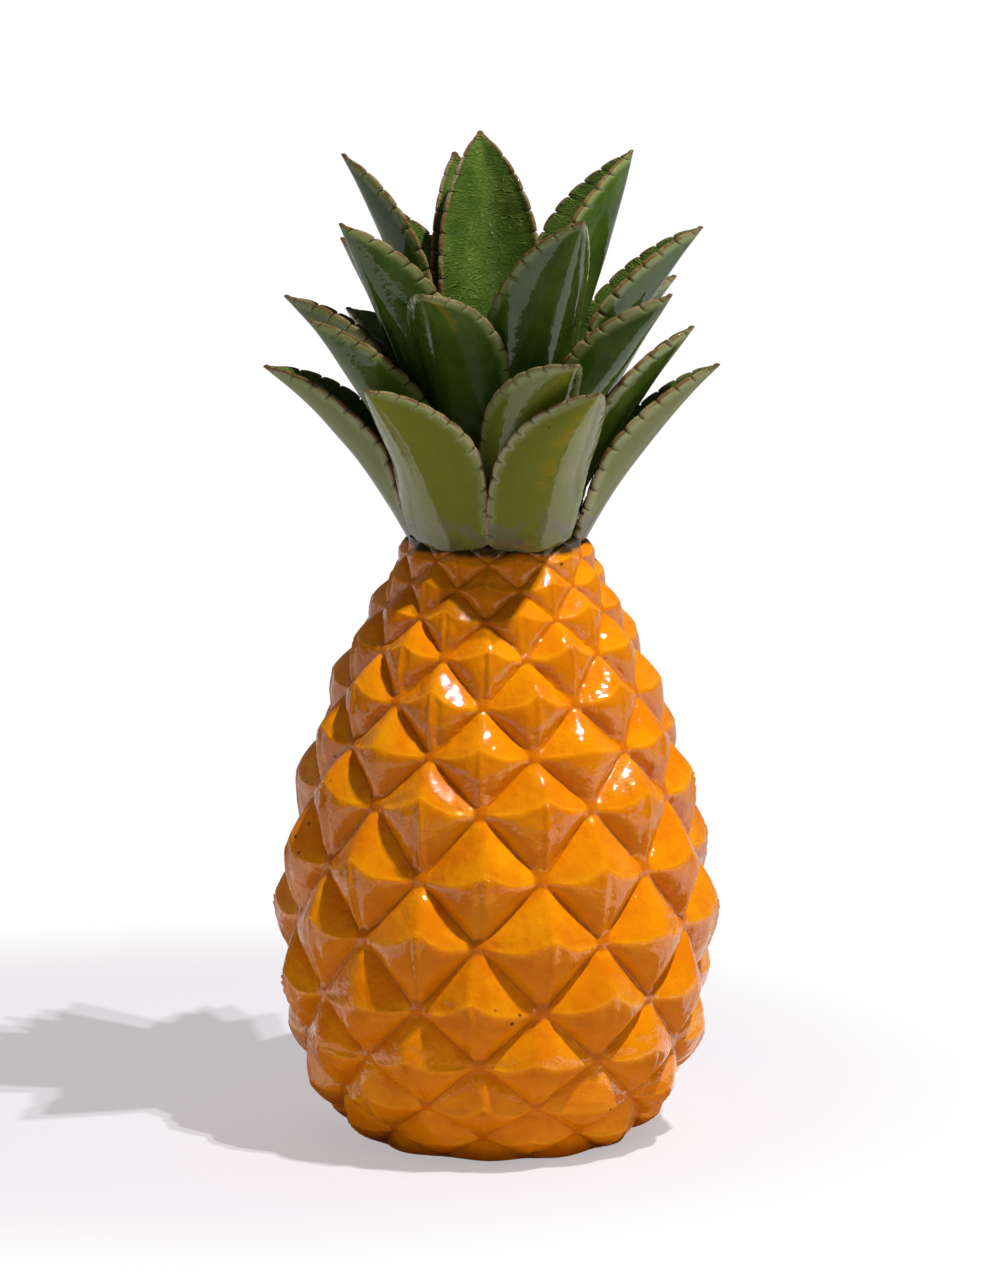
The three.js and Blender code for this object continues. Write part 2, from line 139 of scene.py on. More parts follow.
def rounded_distance(across, level):
    """Distance to the grooves that meet ahead, drawn so that the form between them turns softly."""
    ahead = max(1 - level, 1e-6)
    return max(ahead - across * across / ahead, 1e-6)


def scale_habit():
    """How one scale came out of the mould and the fettling: no two are quite alike."""
    has_cusp = random.random() < 0.8
    return {
        "cusp": random.uniform(0.12, 0.26) if has_cusp else random.uniform(0.0, 0.05),
        "sag": random.uniform(0.04, 0.10) if has_cusp else random.uniform(0.015, 0.05),
        "cusp_shift": random.uniform(-0.16, 0.16),
        "height": random.uniform(0.87, 0.93),
        "hollow": random.uniform(0.03, 0.10),
        "trough": random.uniform(0.0, 0.07),
        "rib": random.uniform(0.09, 0.16) if has_cusp else 0,
        "rib_lean": random.choice((-0.13, 0.13, 0.15)),
        "dent": random.choice((0, 0, 0.05, 0.1)),
        "dent_at": random.choice((-0.62, 0.6, -0.5)),
        "tint": random.random(),
    }


def drift(spot):
    """A direction that wanders slowly from place to place, as hand-worked clay does."""
    return Vector([noise.noise(spot + shift) for shift in DRIFT_SHIFTS])


def body_spot(azimuth, ring, relief):
    """A point on the body, moved a little as the hand-worked clay wanders between foot and neck."""
    radius, height, outward = profile(ring)
    radius += relief * outward[0]
    level = height + relief * outward[1]
    spot = Vector((radius * math.sin(azimuth), -radius * math.cos(azimuth), level))
    free = smooth(height, *TRUE_AT_FOOT) * (1 - smooth(height, *TRUE_AT_NECK))
    spot += drift(spot * WOBBLE_PITCH) * BODY_WOBBLE * free
    push = (noise.noise(spot * DIMPLE_PITCH) - DIMPLE_LEVEL) * BODY_DIMPLE * free
    return spot + Vector((math.sin(azimuth) * push, -math.cos(azimuth) * push, 0))


def add_sheet(name, columns, rows, attributes):
    """A flat grid from 0 to 1 in x and y, with empty attributes for its finish."""
    middle = (0.5, 0.5, 0)
    bpy.ops.mesh.primitive_grid_add(x_subdivisions=columns, y_subdivisions=rows, size=1, location=middle)
    sheet = bpy.context.object
    sheet.name = name
    bpy.ops.object.transform_apply(location=True)
    for attribute in attributes:
        sheet.data.attributes.new(attribute, "FLOAT", "POINT")
    return sheet


def place_vertices(piece, placed):
    """Moves each vertex to its (point, finish values...) row; the names come in the same order."""
    names = [a.name for a in piece.data.attributes if a.data_type == "FLOAT" and a.domain == "POINT"]
    piece.data.vertices.foreach_set("co", [c for row in placed for c in row[0]])
    for index, name in enumerate(names):
        piece.data.attributes[name].data.foreach_set("value", [row[1][index] for row in placed])
    piece.data.update()


SEAM_WIDTH = 0.004 * MM


def close_piece(piece, parts=()):
    """Joins the parts to the piece, closes the seams between them and turns all faces out."""
    bpy.ops.object.select_all(action="DESELECT")
    for part in (*parts, piece):
        part.select_set(True)
    bpy.context.view_layer.objects.active = piece
    if parts:
        bpy.ops.object.join()
    bpy.ops.object.mode_set(mode="EDIT")
    bpy.ops.mesh.select_all(action="SELECT")
    bpy.ops.mesh.remove_doubles(threshold=SEAM_WIDTH)
    bpy.ops.mesh.normals_make_consistent(inside=False)
    bpy.ops.object.mode_set(mode="OBJECT")
    bpy.ops.object.shade_smooth()
    bpy.ops.object.select_all(action="DESELECT")


def half_of(sheet, keeps_upper):
    """A copy of the scale's sheet, cut off on the line between its side corners."""
    half = sheet.copy()
    half.data = sheet.data.copy()
    bpy.context.collection.objects.link(half)
    bpy.context.view_layer.objects.active = half
    half.select_set(True)
    bpy.ops.object.mode_set(mode="EDIT")
    bpy.ops.mesh.select_all(action="DESELECT")
    bpy.ops.object.mode_set(mode="OBJECT")
    for vertex in half.data.vertices:
        level = vertex.co.x + vertex.co.y - 1
        vertex.select = level < -1e-4 if keeps_upper else level > 1e-4
    bpy.ops.object.mode_set(mode="EDIT")
    bpy.ops.mesh.delete(type="VERT")
    bpy.ops.object.mode_set(mode="OBJECT")
    half.select_set(False)
    return half


FOLD_UP_REACH = 0.13
UNDERSIDE_SHADE_REACH = 0.1
FULL_FOLD_RELIEF = 0.35
BODY_FINISH = ("relief", "fold_up", "underside", "bare", "tint")
scale_sheet = add_sheet("scale_sheet", SCALE_CELLS, SCALE_CELLS, BODY_FINISH)
bpy.ops.object.mode_set(mode="EDIT")
bpy.ops.mesh.select_all(action="SELECT")
bpy.ops.mesh.quads_convert_to_tris(quad_method="FIXED_ALTERNATE", ngon_method="BEAUTY")
bpy.ops.object.mode_set(mode="OBJECT")
scale_sheet.select_set(False)
upper_sheet = half_of(scale_sheet, True)
lower_sheet = half_of(scale_sheet, False)


def scale_height(ring):
    """The distance up the body between a scale's lower and upper corners."""
    above, below = profile(ring + 1), profile(ring - 1)
    return math.hypot(above[0] - below[0], above[1] - below[1])


def make_scale(ring, azimuth):
    """One scale on the body, with its own habit. The lowest and highest rings have only halves."""
    sheet = {0: upper_sheet, TOP_RING: lower_sheet}.get(ring, scale_sheet)
    scale = sheet.copy()
    scale.data = sheet.data.copy()
    bpy.context.collection.objects.link(scale)
    habit = scale_habit()
    tallest = RELIEF_PER_SCALE_HEIGHT * scale_height(ring)
    placed = []
    for vertex in sheet.data.vertices:
        across = vertex.co.x - vertex.co.y
        level = vertex.co.x + vertex.co.y - 1
        share = gather(min(abs(level) / max(1 - abs(across), 1e-6), 1), GATHER_TO_RIDGE)
        across = math.copysign(gather(abs(across), GATHER_TO_CORNER), across)
        up, relief, way = scale_point(across, share, level >= 0, habit)
        if ring in (0, TOP_RING) and abs(level) < 1e-4:
            up = 0
        from_crossing = min(math.hypot(across, abs(up) - 1), math.hypot(abs(across) - 1, up))
        saddle = CROSSING_SADDLE * hill((from_crossing, 0, SADDLE_SPREAD)) * scale_height(ring + up)
        relief *= smooth(from_crossing, *CROSSING_DIP)
        spot = body_spot(azimuth + across * HALF_STEP, ring + up, relief * tallest + saddle)
        above = 1 - smooth(way, 0, FOLD_UP_REACH) if level >= 0 else 0
        # The lower facet's mask, where the glaze is darkened as painted shade.
        below = smooth(way, 0, UNDERSIDE_SHADE_REACH) if level <= 0 else 0
        edge = max(min(relief / FULL_FOLD_RELIEF, 1), 0)
        placed.append((spot, (relief, above * edge, below, 0, habit["tint"])))
    place_vertices(scale, placed)
    return scale


scales = []
for ring in range(TOP_RING + 1):
    stagger = HALF_STEP if ring % 2 else 0
    for column in range(SCALES_PER_RING):
        scales.append((ring, FIRST_COLUMN + stagger + column * 2 * HALF_STEP))
scale_parts = [make_scale(ring, azimuth) for ring, azimuth in scales]


# The lining closes the shell: a foot ring below, a recess and shelf for the base slab, the hollow at
# the wall's thickness from the grooves, and a bore and seat at the neck for the collar's tongue.
FOOT_RADIUS = 52 * MM
SLAB_RECESS = 48 * MM
SHELF_RADIUS = 43 * MM
SHELF_UNDERSIDE = 6 * MM
SHELF_TOP = 10 * MM
WALL = 5 * MM
NECK_HEIGHT = 270.5 * MM
NECK_BORE = 31 * MM
NECK_SEAT = 37 * MM
EDGE_ROUND = 0.7 * MM
BORE_ROUND = 0.8 * MM
BORE_DEPTH = 11 * MM
HOLLOW_RINGS = (1.6, 12.6)
HOLLOW_STEPS = 8


def rim_edge(parts):
    """The points on the open edge of a row of half scales, in order of azimuth."""
    edge = {}
    for part in parts:
        sheet = upper_sheet if part.data.vertices[0].co.z < 0.1 else lower_sheet
        for flat, vertex in zip(sheet.data.vertices, part.data.vertices):
            if abs(flat.co.x + flat.co.y - 1) < 1e-4:
                turn = math.atan2(vertex.co.x, -vertex.co.y) % (2 * math.pi)
                edge[round(turn, 5)] = vertex.co.copy()
    return [edge[key] for key in sorted(edge)]


foot_edge = rim_edge(scale_parts[:SCALES_PER_RING])
neck_edge = rim_edge(scale_parts[-SCALES_PER_RING:])

lining_rows = [(FOOT_RADIUS, 0), (SLAB_RECESS + EDGE_ROUND, 0), (SLAB_RECESS, EDGE_ROUND)]
lining_rows += [(SLAB_RECESS, SHELF_UNDERSIDE), (SHELF_RADIUS, SHELF_UNDERSIDE), (SHELF_RADIUS, SHELF_TOP)]
low, high = HOLLOW_RINGS
for step in range(HOLLOW_STEPS + 1):
    radius, height, outward = profile(low + (high - low) * step / HOLLOW_STEPS)
    lining_rows.append((radius - WALL * outward[0], height - WALL * outward[1]))
lining_rows += [(NECK_BORE, NECK_HEIGHT - BORE_DEPTH), (NECK_BORE, NECK_HEIGHT - BORE_ROUND)]
lining_rows += [(NECK_BORE + BORE_ROUND, NECK_HEIGHT), (NECK_SEAT, NECK_HEIGHT)]

UNDERCUT_STEPS = 4
columns = len(foot_edge)
rows = UNDERCUT_STEPS + len(lining_rows)
lining = add_sheet("lining", columns, rows, BODY_FINISH)


def lining_point(column, row):
    """A point of the lining and whether it is bare clay, from the lowest scales' edge to the neck's."""
    foot, neck = foot_edge[column % columns], neck_edge[column % columns]
    turn = math.atan2(foot.x, -foot.y)
    if row == rows:
        return neck, 0
    if row < UNDERCUT_STEPS:
        share = row / UNDERCUT_STEPS
        radius = math.hypot(foot.x, foot.y)
        radius = FOOT_RADIUS + (radius - FOOT_RADIUS) * math.cos(share * math.pi / 2)
        height = foot.z * (1 - math.sin(share * math.pi / 2))
        bare = smooth(share, 0.3, 0.6)
    else:
        radius, height = lining_rows[row - UNDERCUT_STEPS]
        bare = 1
        if row >= rows - 2:
            turn = math.atan2(neck.x, -neck.y)
            bare = 0
    return Vector((radius * math.sin(turn), -radius * math.cos(turn), height)), bare


LINING_RELIEF, LINING_TINT = 0.3, 0.5
placed = []
for vertex in lining.data.vertices:
    point, bare = lining_point(round(vertex.co.x * columns), round(vertex.co.y * rows))
    placed.append((point, (LINING_RELIEF, 0, 0, bare, LINING_TINT)))
place_vertices(lining, placed)
for sheet in (scale_sheet, upper_sheet, lower_sheet):
    bpy.data.objects.remove(sheet)
body = lining
close_piece(body, scale_parts)
body.name = "pineapple_body"

# The glaze fills the creases and rounds the ridges, most of all on the small scales of the shoulder.
LEAST_SOFTENING = 0.14
SHOULDER_SPAN = (0.16, 0.245)
EDGE_HEIGHTS = (0.004, 0.266)
softened = body.vertex_groups.new(name="softened")
bare_clay_shares = body.data.attributes["bare"].data
for vertex in body.data.vertices:
    share = LEAST_SOFTENING + (1 - LEAST_SOFTENING) * smooth(vertex.co.z, *SHOULDER_SPAN)
    is_glazed = bare_clay_shares[vertex.index].value <= 0
    if not is_glazed or vertex.co.z < EDGE_HEIGHTS[0] or vertex.co.z > EDGE_HEIGHTS[1]:
        share = 0
    softened.add([vertex.index], share, "REPLACE")
glaze_pull = body.modifiers.new("glaze_pull", "SMOOTH")
glaze_pull.factor = 0.5
glaze_pull.iterations = 13
glaze_pull.vertex_group = "softened"
bpy.context.view_layer.objects.active = body
bpy.ops.object.modifier_apply(modifier="glaze_pull")


def node(tree, kind, inputs=None, **settings):
    """Adds a shader node, sets it, and links or fills its inputs by name or number."""
    made = tree.nodes.new("ShaderNode" + kind)
    for key, value in settings.items():
        setattr(made, key, value)
    for key, value in (inputs or {}).items():
        if isinstance(value, bpy.types.NodeSocket):
            tree.links.new(value, made.inputs[key])
        else:
            made.inputs[key].default_value = value
    return made


def blend_colour(tree, share, first, second, blend_type="MIX"):
    """Goes from the first colour to the second; each is a socket or a plain red, green and blue."""
    pair = [c if isinstance(c, bpy.types.NodeSocket) else (*c, 1) for c in (first, second)]
    inputs = {0: share, 6: pair[0], 7: pair[1]}
    return node(tree, "Mix", inputs, data_type="RGBA", blend_type=blend_type).outputs[2]


def calculate(tree, operation, first, second):
    return node(tree, "Math", {0: first, 1: second}, operation=operation).outputs[0]


def ramp(tree, value, low, high, to_low=0.0, to_high=1.0):
    """Turns a value softly from to_low at low into to_high at high."""
    inputs = {0: value, 1: low, 2: high, 3: to_low, 4: to_high}
    return node(tree, "MapRange", inputs, interpolation_type="SMOOTHSTEP").outputs[0]


def reading(tree, name):
    return node(tree, "Attribute", attribute_name=name).outputs["Fac"]


def object_height(tree):
    return node(tree, "SeparateXYZ", {0: node(tree, "TexCoord").outputs["Object"]}).outputs[2]


def distance_from(tree, place, centre):
    return node(tree, "VectorMath", {0: place, 1: centre}, operation="DISTANCE").outputs["Value"]


def mix_shaders(tree, share, first, second):
    return node(tree, "MixShader", {0: share, 1: first, 2: second}).outputs[0]


def glow_of(tree, colour):
    return node(tree, "Emission", {"Color": colour, "Strength": 1}).outputs[0]


# Fired glaze, as on every glazed piece: slow ripples where it ran, a fine skin, clouds where it is
# thicker or thinner, and sparse dark specks of iron.
fired_glaze = bpy.data.node_groups.new("fired_glaze", "ShaderNodeTree")
for socket in ("Ripple", "Skin"):
    fired_glaze.interface.new_socket(socket, in_out="INPUT", socket_type="NodeSocketFloat")
for socket in ("Height", "Roughness", "Cloud", "Speck"):
    fired_glaze.interface.new_socket(socket, in_out="OUTPUT", socket_type="NodeSocketFloat")
given = fired_glaze.nodes.new("NodeGroupInput").outputs
place = node(fired_glaze, "TexCoord").outputs["Object"]
slow = node(fired_glaze, "TexNoise", {"Vector": place, "Scale": 140, "Detail": 3}).outputs["Fac"]
fine = node(fired_glaze, "TexNoise", {"Vector": place, "Scale": 620, "Detail": 2}).outputs["Fac"]
clouds = {"Vector": place, "Scale": 60, "Detail": 4, "Roughness": 0.62}
cloud = node(fired_glaze, "TexNoise", clouds).outputs["Fac"]
dots = node(fired_glaze, "TexVoronoi", {"Vector": place, "Scale": 110, "Randomness": 1}).outputs["Distance"]
rare = node(fired_glaze, "TexNoise", {"Vector": place, "Scale": 21, "Detail": 0}).outputs["Fac"]
rippled = calculate(fired_glaze, "MULTIPLY", slow, given["Ripple"])
skinned = calculate(fired_glaze, "MULTIPLY", fine, given["Skin"])
spots = ramp(fired_glaze, dots, 0.13, 0.05)
speck = calculate(fired_glaze, "MULTIPLY", spots, ramp(fired_glaze, rare, 0.70, 0.73))
leaving = fired_glaze.nodes.new("NodeGroupOutput").inputs
for socket, value in {
    "Height": calculate(fired_glaze, "ADD", rippled, skinned),
    "Roughness": ramp(fired_glaze, cloud, 0.3, 0.8, 0.02, 0.06),
    "Cloud": ramp(fired_glaze, cloud, 0.32, 0.68),
    "Speck": speck,
}.items():
    fired_glaze.links.new(value, leaving[socket])


def new_material(name):
    """A material, its node tree and its shader."""
    material = bpy.data.materials.new(name)
    material.use_nodes = True
    tree = material.node_tree
    return material, tree, tree.nodes["Principled BSDF"]


def glaze_layer(tree, ripple, skin):
    """The fired glaze in a material, with the strength of its slow ripple and of its fine skin."""
    group = tree.nodes.new("ShaderNodeGroup")
    group.node_tree = fired_glaze
    group.inputs["Ripple"].default_value = ripple
    group.inputs["Skin"].default_value = skin
    return group.outputs


def finish_surface(tree, shader, colour, roughness, height, depth):
    """Links a surface's colour, roughness and bump to its shader; depth is the bump's full height."""
    tree.links.new(colour, shader.inputs["Base Color"])
    tree.links.new(roughness, shader.inputs["Roughness"])
    bump = node(tree, "Bump", {"Height": height, "Distance": depth, "Strength": 1})
    tree.links.new(bump.outputs["Normal"], shader.inputs["Normal"])


# The amber glaze: paler on the ridges' upper folds and browner in the grooves. The scales' undersides are
# darkened as painted shade, and the seam under the crown is nearly black, partly a dark joint of glaze and
# partly painted shade. The glaze is absent where the clay is bare.
GLAZE_DEPTH = 0.6 * MM
GLAZE_IOR = 1.55
SEAM_AND_SHADE_SPAN = (0.2668, 0.2694)
amber, tree, shader = new_material("amber_glaze")
shader.inputs["IOR"].default_value = GLAZE_IOR
layer = glaze_layer(tree, 1.9, 0.025)
relief = reading(tree, "relief")
bare = reading(tree, "bare")
high_glaze = blend_colour(tree, layer["Cloud"], (0.70, 0.18, 0.001), (0.82, 0.29, 0.001))
tinted = ramp(tree, reading(tree, "tint"), 0, 1, 0, 0.4)
high_glaze = blend_colour(tree, tinted, high_glaze, (0.79, 0.225, 0.001))
colour = blend_colour(tree, ramp(tree, relief, 0.0, 0.07), (0.60, 0.145, 0.001), high_glaze)
folded = ramp(tree, reading(tree, "fold_up"), 0.3, 1, 0, 0.4)
colour = blend_colour(tree, folded, colour, (0.80, 0.33, 0.005))
# Painted shade: the scales' undersides are darkened.
underside_shade = ramp(tree, reading(tree, "underside"), 0, 1, 0, 0.5)
colour = blend_colour(tree, underside_shade, colour, (0.50, 0.125, 0.001))
# The seam under the crown goes nearly black: partly a dark joint of glaze, partly painted shade.
wander = calculate(tree, "MULTIPLY", layer["Cloud"], 2 * MM)
dark_seam_and_shade = ramp(tree, calculate(tree, "ADD", object_height(tree), wander), *SEAM_AND_SHADE_SPAN)
colour = blend_colour(tree, dark_seam_and_shade, colour, (0.045, 0.025, 0.003))
colour = blend_colour(tree, layer["Speck"], colour, (0.10, 0.03, 0.004))
colour = blend_colour(tree, bare, colour, (0.50, 0.24, 0.115))
roughness = node(tree, "Mix", {0: bare, 2: layer["Roughness"], 3: 0.8}).outputs[0]
finish_surface(tree, shader, colour, roughness, layer["Height"], GLAZE_DEPTH)
body.data.materials.append(amber)
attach(body, "root")
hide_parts("body_shell")

# Base slab: a disc of the same clay, rolled flat and let into the underside against a shelf. It
# stays unglazed, so it shows bare buff clay with the marks of turning.
SLAB_RADIUS = 47.7 * MM
SLAB_THICKNESS = 5.7 * MM
SLAB_BANDS = (3 * MM, 18 * MM, 14 * MM)
SLAB_DISH = 0.25 * MM
SLAB_EDGE = 0.8 * MM
middle = (0, 0, SLAB_THICKNESS / 2)
bpy.ops.mesh.primitive_cylinder_add(vertices=128, radius=SLAB_RADIUS, depth=SLAB_THICKNESS, location=middle)
slab = bpy.context.object
slab.name = "base_disc"
bpy.ops.object.transform_apply(location=True)
bpy.ops.object.mode_set(mode="EDIT")
bpy.ops.mesh.select_mode(type="FACE")
bpy.ops.mesh.select_all(action="DESELECT")
bpy.ops.object.mode_set(mode="OBJECT")
for face in slab.data.polygons:
    face.select = abs(face.normal.z) > 0.9
bpy.ops.object.mode_set(mode="EDIT")
bpy.ops.mesh.inset(thickness=SLAB_BANDS[0], use_individual=True)
bpy.ops.mesh.inset(thickness=SLAB_BANDS[1], use_individual=True)
bpy.ops.transform.translate(value=(0, 0, SLAB_DISH))
bpy.ops.mesh.inset(thickness=SLAB_BANDS[2], use_individual=True)
bpy.ops.object.mode_set(mode="OBJECT")
soften = slab.modifiers.new("soften", "BEVEL")
soften.width = SLAB_EDGE
soften.segments = 3
bpy.ops.object.modifier_apply(modifier="soften")
bpy.ops.object.shade_smooth_by_angle(angle=math.radians(40))

clay, tree, shader = new_material("bare_clay")
place = node(tree, "TexCoord").outputs["Object"]
grit = node(tree, "TexNoise", {"Vector": place, "Scale": 900, "Detail": 4}).outputs["Fac"]
stain = node(tree, "TexNoise", {"Vector": place, "Scale": 40, "Detail": 4}).outputs["Fac"]
turning = {"Vector": place, "Scale": 55, "Distortion": 1.2, "Detail": 2}
rings = node(tree, "TexWave", turning, wave_type="RINGS", rings_direction="Z").outputs["Fac"]
colour = blend_colour(tree, stain, (0.40, 0.19, 0.09), (0.56, 0.30, 0.15))
colour = blend_colour(tree, ramp(tree, grit, 0.62, 0.72), colour, (0.25, 0.11, 0.05))
height = calculate(tree, "ADD", calculate(tree, "MULTIPLY", rings, 0.6), grit)
CLAY_GRAIN = 0.15 * MM
finish_surface(tree, shader, colour, ramp(tree, stain, 0, 1, 0.72, 0.9), height, CLAY_GRAIN)
slab.data.materials.append(clay)
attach(slab, "root")
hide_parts("base_slab")

# Collar: a short tube thrown on the wheel, with a tongue below that stands in the body's neck and a
# rolled lip above. It is the vase's mouth and carries the leaves, under a runny olive glaze.
# All of its radii and heights are in millimetres.
COLLAR_TURNS = 96
COLLAR_WALL = 4.2
TONGUE_RADIUS = 30.7
TONGUE_END = 261.5
SEAT_HEIGHT = 270.8
FLARE_RADIUS, FLARE_TOP = 35.5, 279.8
MOUTH_RADIUS, MOUTH_HEIGHT = 31.5, 362
THROWING_STEPS = 14
THROWING_RIDGE = 0.12
THROWING_PITCH = 1.35
LIP_STEPS = 8
lip_middle = (MOUTH_RADIUS - COLLAR_WALL / 2, MOUTH_HEIGHT - COLLAR_WALL / 2)
tongue = [(TONGUE_RADIUS - 0.8, TONGUE_END), (TONGUE_RADIUS, TONGUE_END + 1), (TONGUE_RADIUS, SEAT_HEIGHT)]
flare = [(36.4, SEAT_HEIGHT), (36.8, 271.3), (36.7, 273.8), (36.1, 277), (FLARE_RADIUS, FLARE_TOP)]
throwing = []
for step in range(1, THROWING_STEPS):
    radius = FLARE_RADIUS + (MOUTH_RADIUS - FLARE_RADIUS) * step / THROWING_STEPS
    height = FLARE_TOP + (lip_middle[1] - FLARE_TOP) * step / THROWING_STEPS
    throwing.append((radius + THROWING_RIDGE * math.sin(height * THROWING_PITCH), height))
lip = []
for step in range(LIP_STEPS + 1):
    turn = math.pi * step / LIP_STEPS
    across, up = COLLAR_WALL / 2 * math.cos(turn), COLLAR_WALL / 2 * math.sin(turn)
    lip.append((lip_middle[0] + across, lip_middle[1] + up))
bore = [(radius - COLLAR_WALL, height) for radius, height in reversed(throwing)]
bore += [(FLARE_RADIUS - COLLAR_WALL, FLARE_TOP), (TONGUE_RADIUS - COLLAR_WALL, TONGUE_END + 0.7)]
bore += [(TONGUE_RADIUS - COLLAR_WALL + 0.7, TONGUE_END)]
collar_profile = tongue + flare + throwing + lip + bore
bpy.ops.mesh.primitive_circle_add(vertices=len(collar_profile), radius=1)
collar = bpy.context.object
collar.name = "mouth_collar"
for vertex, (radius, height) in zip(collar.data.vertices, collar_profile):
    vertex.co = (radius * MM, 0, height * MM)
bpy.ops.object.mode_set(mode="EDIT")
bpy.ops.mesh.select_all(action="SELECT")
bpy.ops.mesh.spin(steps=COLLAR_TURNS, angle=2 * math.pi, center=(0, 0, 0), axis=(0, 0, 1))
bpy.ops.object.mode_set(mode="OBJECT")
close_piece(collar)

olive, tree, shader = new_material("collar_glaze")
shader.inputs["IOR"].default_value = GLAZE_IOR
layer = glaze_layer(tree, 0.8, 0.04)
colour = blend_colour(tree, layer["Cloud"], (0.10, 0.115, 0.012), (0.19, 0.16, 0.015))
LIP_SPAN = (0.355, 0.3615)
colour = blend_colour(tree, ramp(tree, object_height(tree), *LIP_SPAN), colour, (0.22, 0.14, 0.04))
colour = blend_colour(tree, layer["Speck"], colour, (0.03, 0.02, 0.005))
finish_surface(tree, shader, colour, layer["Roughness"], layer["Height"], GLAZE_DEPTH)
collar.data.materials.append(olive)
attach(collar, "root")
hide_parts("crown_collar")

# Leaves: each is cut from a rolled slab, folded along its keel, notched round its rim with a knife
# and luted to the collar with slip, tier above tier. The glaze is copper green over the clay. It
# thins to brown on the rims, and its lighter inner face is crazed.
LEAF_THICKNESS = 3.6
WIDEST_AT = 0.4
NARROWEST = 2.2
BASE_CORNER = (7, 6)
BLUNT_TIP = 2.4
KEEL_TRIM = 0.4
LEAF_WARP = 0.8
WARP_PITCH = 0.035
NOTCH_PITCH = 9.3
NOTCH_SPREAD = (0.9, 1.1)
NOTCH_REACH = 2.6
NOTCH_HALF_WIDTH = 0.055
NOTCH_DEPTH = 0.6
RIM_NOTCH_DEPTH = 0.45
RIM_BITE = 0.4
SCALLOP = 0.35
RIM_BEAD = 0.2
NOTCH_SIDES = (0, 0.055, 0.2, 0.36, 0.5, 0.64, 0.8, 0.945)
CHEVRON = 0.06
SECTION_POWER = 2.1
# Each tier has the radius and height of its leaves' bases. Azimuth is in degrees from the front, and
# lean in degrees from upright, at the base and at the tip. Lengths are in millimetres.
TIERS = {
    "tier1": (39.5, 268.5, {
        "front_left": dict(azimuth=-36, length=100, lean=(26, 50), half_width=25.5, cup=34, sweep=3),
        "front_right": dict(azimuth=23, length=101, lean=(28, 50), half_width=23.5, cup=30, sweep=5),
        "right": dict(azimuth=87, length=99, lean=(28, 46), half_width=19.5, cup=36),
        "back_right": dict(azimuth=141, length=98, lean=(27, 49), half_width=21.5, cup=42),
        "back_left": dict(azimuth=-156, length=99, lean=(28, 46), half_width=21, cup=44),
        "left": dict(azimuth=-99, length=100, lean=(29, 53), half_width=20.5, cup=41),
    }),
    "tier2": (37.5, 288, {
        "front": dict(azimuth=17, length=93, lean=(26, 54), half_width=21, cup=40, sweep=6),
        "right": dict(azimuth=87, length=91, lean=(30, 37), half_width=19.5, cup=34, roll=-4),
        "back_right": dict(azimuth=126, length=96, lean=(26, 46), half_width=20.5, cup=42),
        "back": dict(azimuth=177, length=97, lean=(25, 48), half_width=21, cup=43),
        "back_left": dict(azimuth=-135, length=95, lean=(26, 50), half_width=20.5, cup=42),
        "far_left": dict(azimuth=-102, length=105, lean=(23, 46), half_width=21, cup=45, roll=11),
        "left": dict(azimuth=-64, length=100, lean=(27, 39), half_width=20.5, cup=43),
    }),
    "tier3": (36, 313, {
        "front_left": dict(azimuth=-28, length=90, lean=(9, 56), half_width=24.5, cup=29, sweep=7),
        "right": dict(azimuth=59, length=90, lean=(38, 38), half_width=20.5, cup=40, sweep=-3),
        "back_right": dict(azimuth=115, length=86, lean=(32, 44), half_width=20.5, cup=42),
        "back": dict(azimuth=163, length=95, lean=(24, 42), half_width=21, cup=42),
        "back_left": dict(azimuth=-152, length=95, lean=(24, 42), half_width=21, cup=42),
        "far_left": dict(azimuth=-116, length=95, lean=(18, 34), half_width=20.5, cup=42),
    }),
    "tier4": (35, 322, {
        "left": dict(azimuth=-59, length=104, lean=(25, 29), half_width=22, cup=46, sweep=4),
        "front_right": dict(azimuth=28, length=109, lean=(19, 34), half_width=24, cup=38, sweep=-2),
        "right": dict(azimuth=92, length=102, lean=(31, 36), half_width=22, cup=42),
        "back_left": dict(azimuth=-137, length=98, lean=(18, 32), half_width=20.5, cup=42),
        "back": dict(azimuth=-165, length=117, lean=(14, 25), half_width=22, cup=42),
        "back_right": dict(azimuth=140, length=103, lean=(19, 33), half_width=21, cup=42),
    }),
    "tier5": (33.5, 346, {
        "right": dict(azimuth=101, length=98, lean=(19, 15), half_width=23, cup=50, sweep=3),
        "back": dict(azimuth=-172, length=100, lean=(5, 17), half_width=23.5, cup=38),
        "left": dict(azimuth=-92, length=100, lean=(12, 29), half_width=20, cup=36, roll=7),
    }),
}


def leaf_half_width(leaf, along):
    """Half the leaf's width: nearly full at the base, round-cornered below and pointed above."""
    if along < WIDEST_AT:
        share = 0.88 + 0.12 * math.sin(along / WIDEST_AT * math.pi / 2)
    else:
        towards_tip = (along - WIDEST_AT) / (1 - WIDEST_AT)
        share = max(1 - towards_tip ** 1.9, 0) ** 0.85
    width = max(leaf["half_width"] * share, NARROWEST)
    corner = max(1 - along * leaf["length"] / BASE_CORNER[0], 0)
    width -= BASE_CORNER[1] * (1 - math.sqrt(1 - corner ** 2))
    blunt = max(1 - (1 - along) * leaf["length"] / BLUNT_TIP, 0)
    return width * math.sqrt(max(1 - blunt ** 2, 0))


